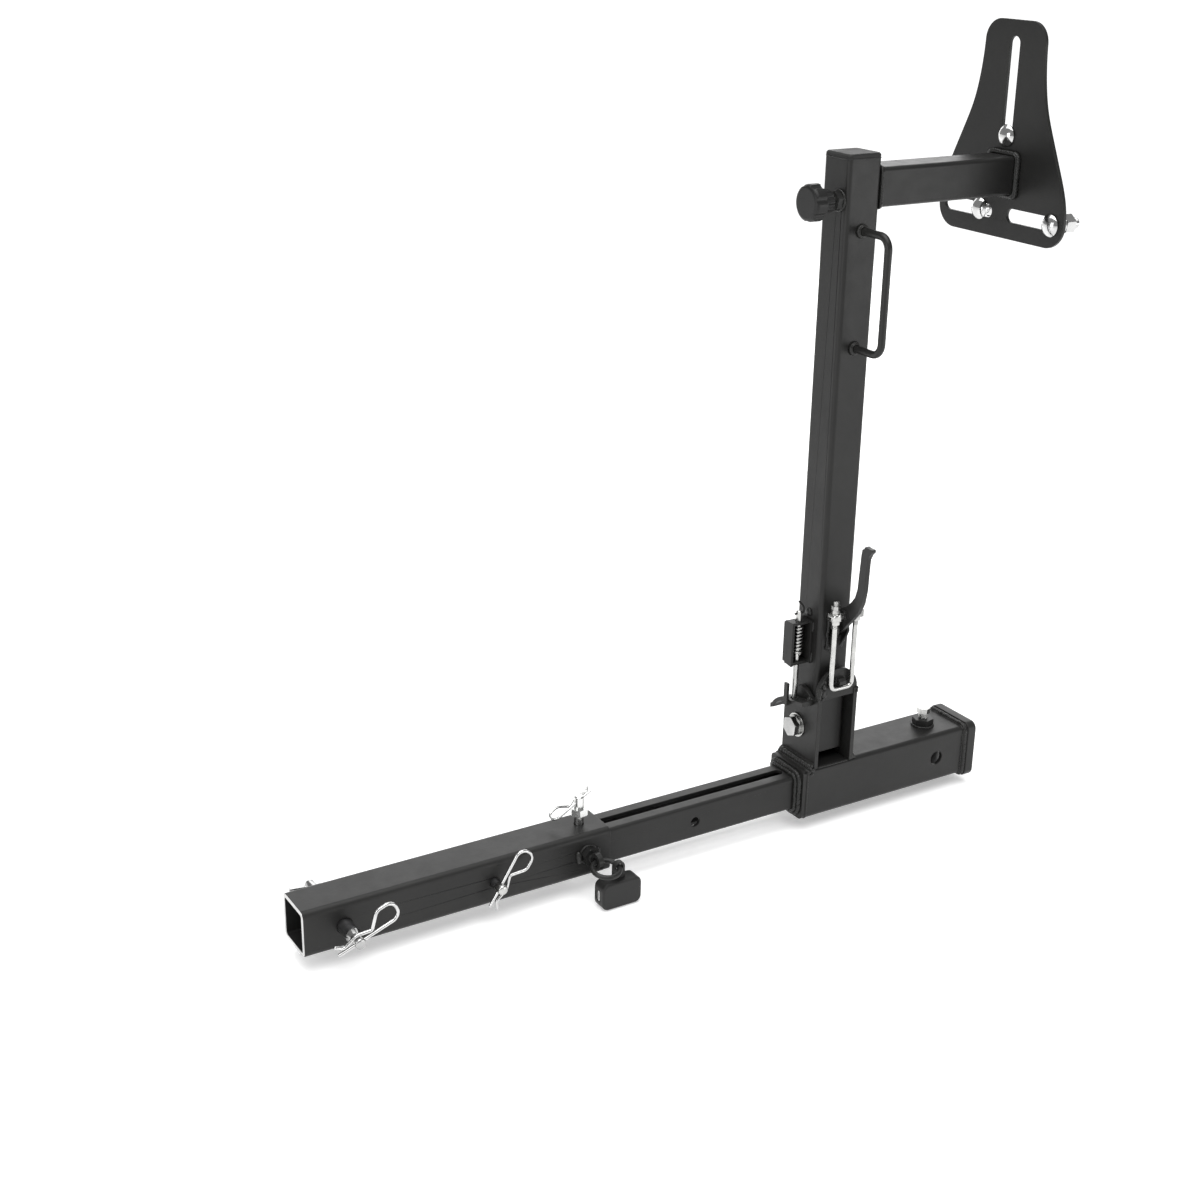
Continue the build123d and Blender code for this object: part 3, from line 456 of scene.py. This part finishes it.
def sleeve(name, axis_xz, prof, look, body, seg=40):
    """Surface of revolution about a Y line; prof is [(y, r), ...] closed at both ends."""
    x, z = axis_xz
    v, f = [], []
    for y, r in prof:
        for k in range(seg):
            a = 2 * math.pi * k / seg
            v.append((x + r * math.cos(a), y, z + r * math.sin(a)))
    for i in range(len(prof) - 1):
        for k in range(seg):
            l = (k + 1) % seg
            f.append((i * seg + k, i * seg + l, (i + 1) * seg + l, (i + 1) * seg + k))
    f.append(tuple(reversed(range(seg))))
    f.append(tuple((len(prof) - 1) * seg + k for k in range(seg)))
    return mesh_obj(name, v, f, look, body)


for s, tag in ((-1, "near"), (1, "far")):
    sleeve("pin_end_" + tag, (42.2, 0.0),
           [(s * 44.7, 7.2), (s * 45.1, 7.96), (s * 45.6, 7.98), (s * 50.5, 5.75), (s * 51.1, 5.68), (s * 62.9, 5.68), (s * 63.7, 5.2), (s * 64.25, 4.5)],
           "steel_dim", "hitch_pin_body")
sleeve("pin_tip_adjuster", (205.5, 0.0), [(-33.4, 4.9), (-33.6, 5.28), (-42.9, 5.28), (-43.9, 4.7), (-44.55, 3.9)], "zinc", "adjuster_pin_body")

# --------------------------------------------------------------------- stage
floor_z = -0.0442
bpy.ops.mesh.primitive_plane_add(size=60, location=(0.4, 0, floor_z))
floor = bpy.context.object
floor.name = "floor"
fm = bpy.data.materials.new("mat_floor")
fm.use_nodes = True
fb = fm.node_tree.nodes["Principled BSDF"]
fb.inputs["Base Color"].default_value = (0.80, 0.80, 0.80, 1)
fb.inputs["Emission Color"].default_value = (1.0, 1.0, 1.0, 1)
fb.inputs["Emission Strength"].default_value = 0.34
fb.inputs["Roughness"].default_value = 0.85
fb.inputs["Specular IOR Level"].default_value = 0.1
floor.data.materials.append(fm)

world = bpy.data.worlds.new("studio")
bpy.context.scene.world = world
world.use_nodes = True
wt = world.node_tree
bg = wt.nodes["Background"]
bg.inputs["Color"].default_value = (1.0, 1.0, 1.0, 1)
bg.inputs["Strength"].default_value = 0.32


def area(name, loc, target, size, power, sy=None):
    d = bpy.data.lights.new(name, "AREA")
    d.energy = power
    d.shape = "RECTANGLE"
    d.size = size
    d.size_y = sy or size
    o = bpy.data.objects.new(name, d)
    bpy.context.scene.collection.objects.link(o)
    o.location = loc
    o.rotation_euler = (Vector(target) - Vector(loc)).to_track_quat("-Z", "Y").to_euler()
    return o


def sun(name, direction, strength, angle):
    d = bpy.data.lights.new(name, "SUN")
    d.energy = strength
    d.angle = math.radians(angle)
    o = bpy.data.objects.new(name, d)
    bpy.context.scene.collection.objects.link(o)
    o.rotation_euler = Vector(direction).to_track_quat("-Z", "Y").to_euler()
    return o


sun("sun_soft", (0.15, 0.25, -1.0), 2.3, 60)
area("top_box", (0.45, 0.35, 2.3), (0.45, 0.0, 0.2), 1.8, 16.0, 1.5)
card = area("back_card", (2.0, 2.6, 1.25), (0.45, 0.0, 0.2), 3.6, 53.0, 2.2)
card.visible_camera = False
area("left_card", (-1.5, -0.5, 0.9), (0.5, 0.0, 0.3), 0.7, 12.0, 1.2)
area("front_low", (2.3, -2.7, 0.38), (0.7, 0.0, 0.6), 2.4, 19.0, 0.7)

# -------------------------------------------------------------------- camera
az, el, roll = math.radians(-31.36), math.radians(21.55), math.radians(0.91)
back = Vector((math.sin(az) * math.cos(el), -math.cos(az) * math.cos(el), math.sin(el)))
fwd = -back
right = fwd.cross(Vector((0, 0, 1))).normalized()
up = right.cross(fwd)
r2 = right * math.cos(roll) + up * math.sin(roll)
u2 = up * math.cos(roll) - right * math.sin(roll)
cam_data = bpy.data.cameras.new("camera")
cam = bpy.data.objects.new("camera", cam_data)
bpy.context.scene.collection.objects.link(cam)
cam.matrix_world = Matrix(((r2.x, u2.x, back.x, -0.53088), (r2.y, u2.y, back.y, -1.42918), (r2.z, u2.z, back.z, 0.93816), (0, 0, 0, 1)))
cam_data.sensor_width = 36.0
cam_data.lens = 54.05
cam_data.shift_x = -0.0004
cam_data.shift_y = -0.0042
cam_data.clip_start = 0.05
cam_data.clip_end = 200.0
bpy.context.scene.camera = cam
bpy.context.scene.view_settings.view_transform = "Standard"
